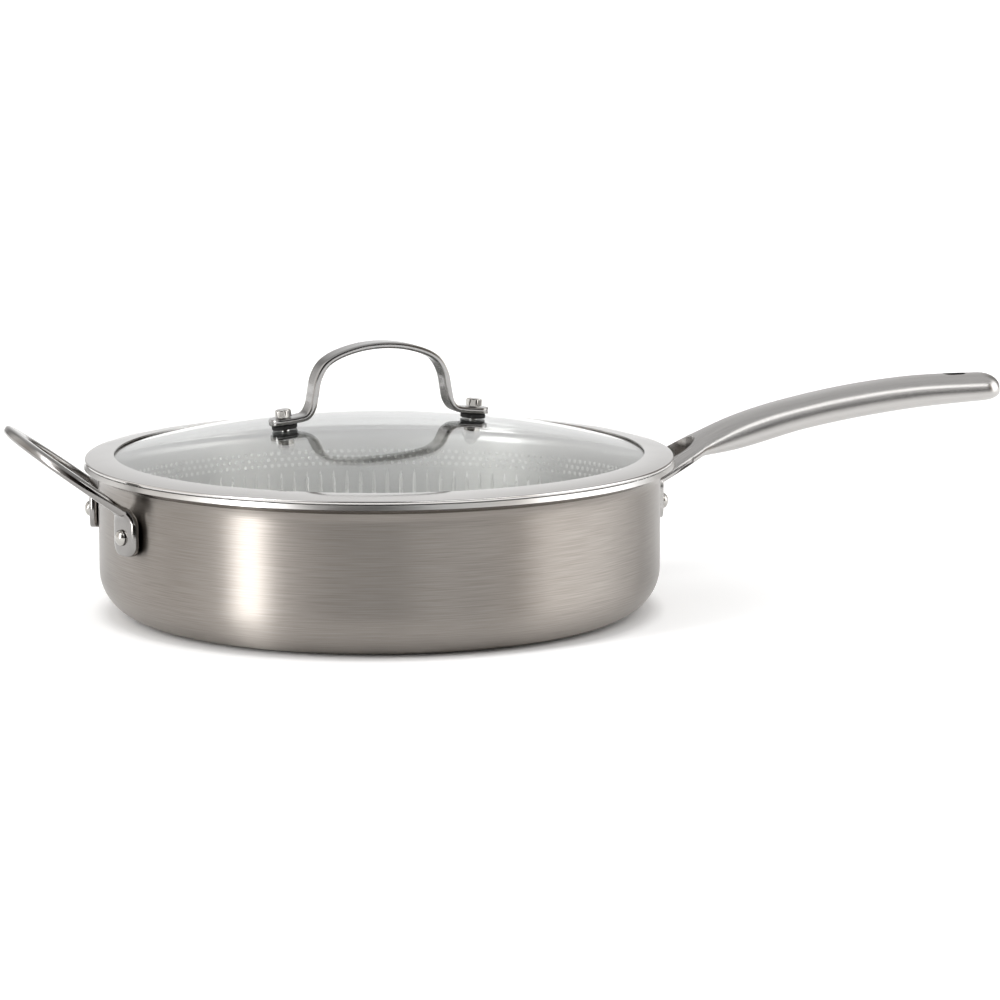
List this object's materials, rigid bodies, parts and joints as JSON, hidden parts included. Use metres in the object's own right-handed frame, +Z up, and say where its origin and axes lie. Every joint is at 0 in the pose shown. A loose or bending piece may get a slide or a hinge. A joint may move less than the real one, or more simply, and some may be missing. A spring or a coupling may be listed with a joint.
{
  "type": "saute pan with lid",
  "caption": "Deep round steel saute pan with a flared lip, a riveted forked long handle, a riveted helper loop and a domed glass lid with an arched strap handle.",
  "frame": {"origin": "centre of the flat base, on the face that the pan stands on", "axes": "+Z up along the pan's axis, +X along the long handle, the helper loop on -X"},
  "size_m": [0.5601, 0.319, 0.1456],
  "materials": {
    "brushed_shell": "brushed round the wall",
    "satin_handle": "satin brushed along its length",
    "polished_steel": "polished stainless steel",
    "fastener": "bright stainless steel",
    "lid_glass": "clear tempered glass",
    "silicone": "matt black silicone"
  },
  "bodies": {
    "pan": {"pan_shell": "brushed_shell", "long_handle": "satin_handle", "long_rivet_1": "fastener", "long_rivet_2": "fastener", "helper_handle": "polished_steel", "helper_rivet_1": "fastener", "helper_rivet_2": "fastener"},
    "lid": {"lid_rim": "polished_steel", "lid_glass": "lid_glass", "lid_handle": "satin_handle", "lid_screw_1": "fastener", "lid_screw_2": "fastener", "foot_pad_1": "silicone", "foot_pad_2": "silicone", "inner_seal_1": "silicone", "inner_seal_2": "silicone", "lid_washer_1": "fastener", "lid_washer_2": "fastener", "cap_nut_1": "fastener", "cap_nut_2": "fastener"}
  },
  "joints": [
    {"name": "lid_lift", "type": "slide", "parent": "pan", "child": "lid", "axis": [0, 0, 1], "range_m": [0, 0.15]}
  ]
}
